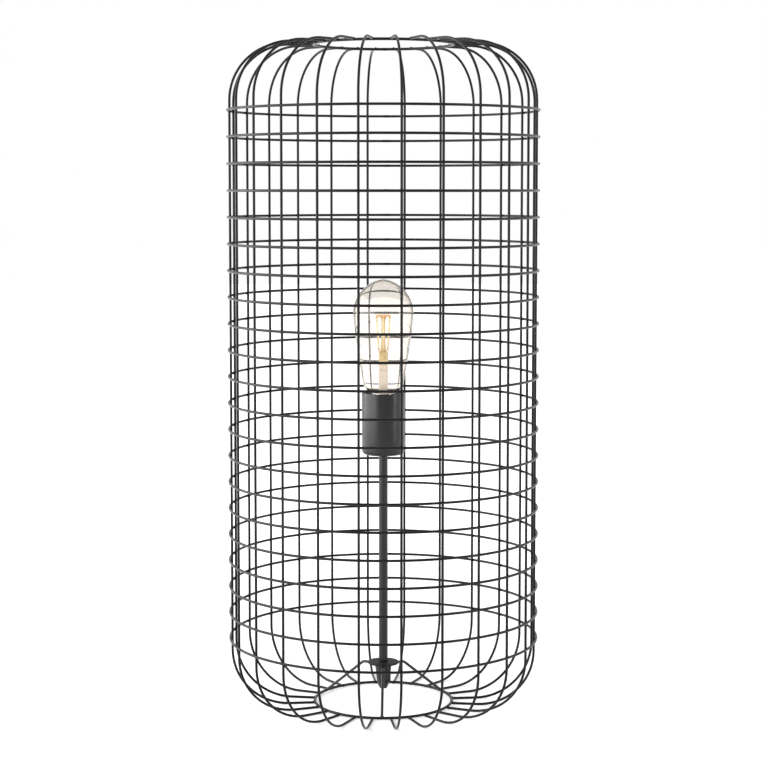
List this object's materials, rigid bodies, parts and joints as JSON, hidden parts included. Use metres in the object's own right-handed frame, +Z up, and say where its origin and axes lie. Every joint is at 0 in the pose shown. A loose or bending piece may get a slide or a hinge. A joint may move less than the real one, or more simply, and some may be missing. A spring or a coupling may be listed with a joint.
{
  "type": "cage table lamp",
  "caption": "Table lamp with a tall cylindrical wire cage, a centre stem on three arms and a screw-in filament bulb in a plain cup.",
  "frame": {"origin": "centre of the cage on the plane that the lamp stands on", "axes": "+Z up along the cage, stem and bulb axis, -Y towards the front arm, +X to the right when seen from the front"},
  "size_m": [0.328, 0.328, 0.7],
  "materials": {
    "black_powder_coat": "fine satin black powder coat on steel",
    "black_nylon": "moulded black nylon",
    "zinc_steel": "zinc plated steel",
    "black_bakelite": "moulded black bakelite, half gloss",
    "white_ceramic": "glazed white porcelain",
    "contact_brass": "bright pressed brass",
    "clear_glass": "clear blown glass with a faint warm tint",
    "mount_glass": "clear drawn glass",
    "nickel_wire": "bright nickel wire",
    "filament_phosphor": "yellow phosphor, lit warm white",
    "driver_board": "green circuit board with black parts",
    "cap_metal": "nickel plated pressed sheet",
    "cap_insulator_black": "black fused glass"
  },
  "bodies": {
    "lamp": {"ribs": "black_powder_coat", "hoop_01": "black_powder_coat", "hoop_02": "black_powder_coat", "hoop_03": "black_powder_coat", "hoop_04": "black_powder_coat", "hoop_05": "black_powder_coat", "hoop_06": "black_powder_coat", "hoop_07": "black_powder_coat", "hoop_08": "black_powder_coat", "hoop_09": "black_powder_coat", "hoop_10": "black_powder_coat", "hoop_11": "black_powder_coat", "hoop_12": "black_powder_coat", "hoop_13": "black_powder_coat", "hoop_14": "black_powder_coat", "hoop_15": "black_powder_coat", "hoop_16": "black_powder_coat", "hoop_17": "black_powder_coat", "hoop_18": "black_powder_coat", "hoop_19": "black_powder_coat", "hoop_20": "black_powder_coat", "hoop_21": "black_powder_coat", "top_ring": "black_powder_coat", "bottom_ring": "black_powder_coat", "hub_disc": "black_powder_coat", "hub_arm_1": "black_powder_coat", "hub_arm_2": "black_powder_coat", "hub_arm_3": "black_powder_coat", "stem_tube": "black_powder_coat", "lampholder_cup": "black_powder_coat", "cord_grip": "black_nylon", "cord_clamp_screw": "zinc_steel", "cup_lock_nut": "zinc_steel", "socket_lock_screw": "zinc_steel", "terminal_screws": "zinc_steel", "socket_base": "black_bakelite", "socket_sleeve": "black_bakelite", "contact_carrier": "white_ceramic", "thread_shell": "contact_brass", "centre_contact": "contact_brass", "side_contact": "contact_brass"},
    "bulb_axis": {"cap_contact": "contact_brass"},
    "bulb": {"bulb_glass": "clear_glass", "bulb_mount": "mount_glass", "bulb_leads": "nickel_wire", "bulb_filaments": "filament_phosphor", "bulb_driver": "driver_board", "bulb_cap": "cap_metal", "cap_insulator": "cap_insulator_black"}
  },
  "joints": [
    {"name": "bulb_lift", "type": "slide", "parent": "lamp", "child": "bulb_axis", "axis": [0, 0, 1], "range_m": [0, 0.0182]},
    {"name": "bulb_turn", "type": "hinge", "parent": "bulb_axis", "child": "bulb", "pos_m": [0, 0, 0.32], "axis": [0, 0, 1], "range_deg": [0, 1800]}
  ],
  "couplings": [
    {"joint": "bulb_lift", "follows": "bulb_turn", "m_per_rad": 0.00057757}
  ]
}
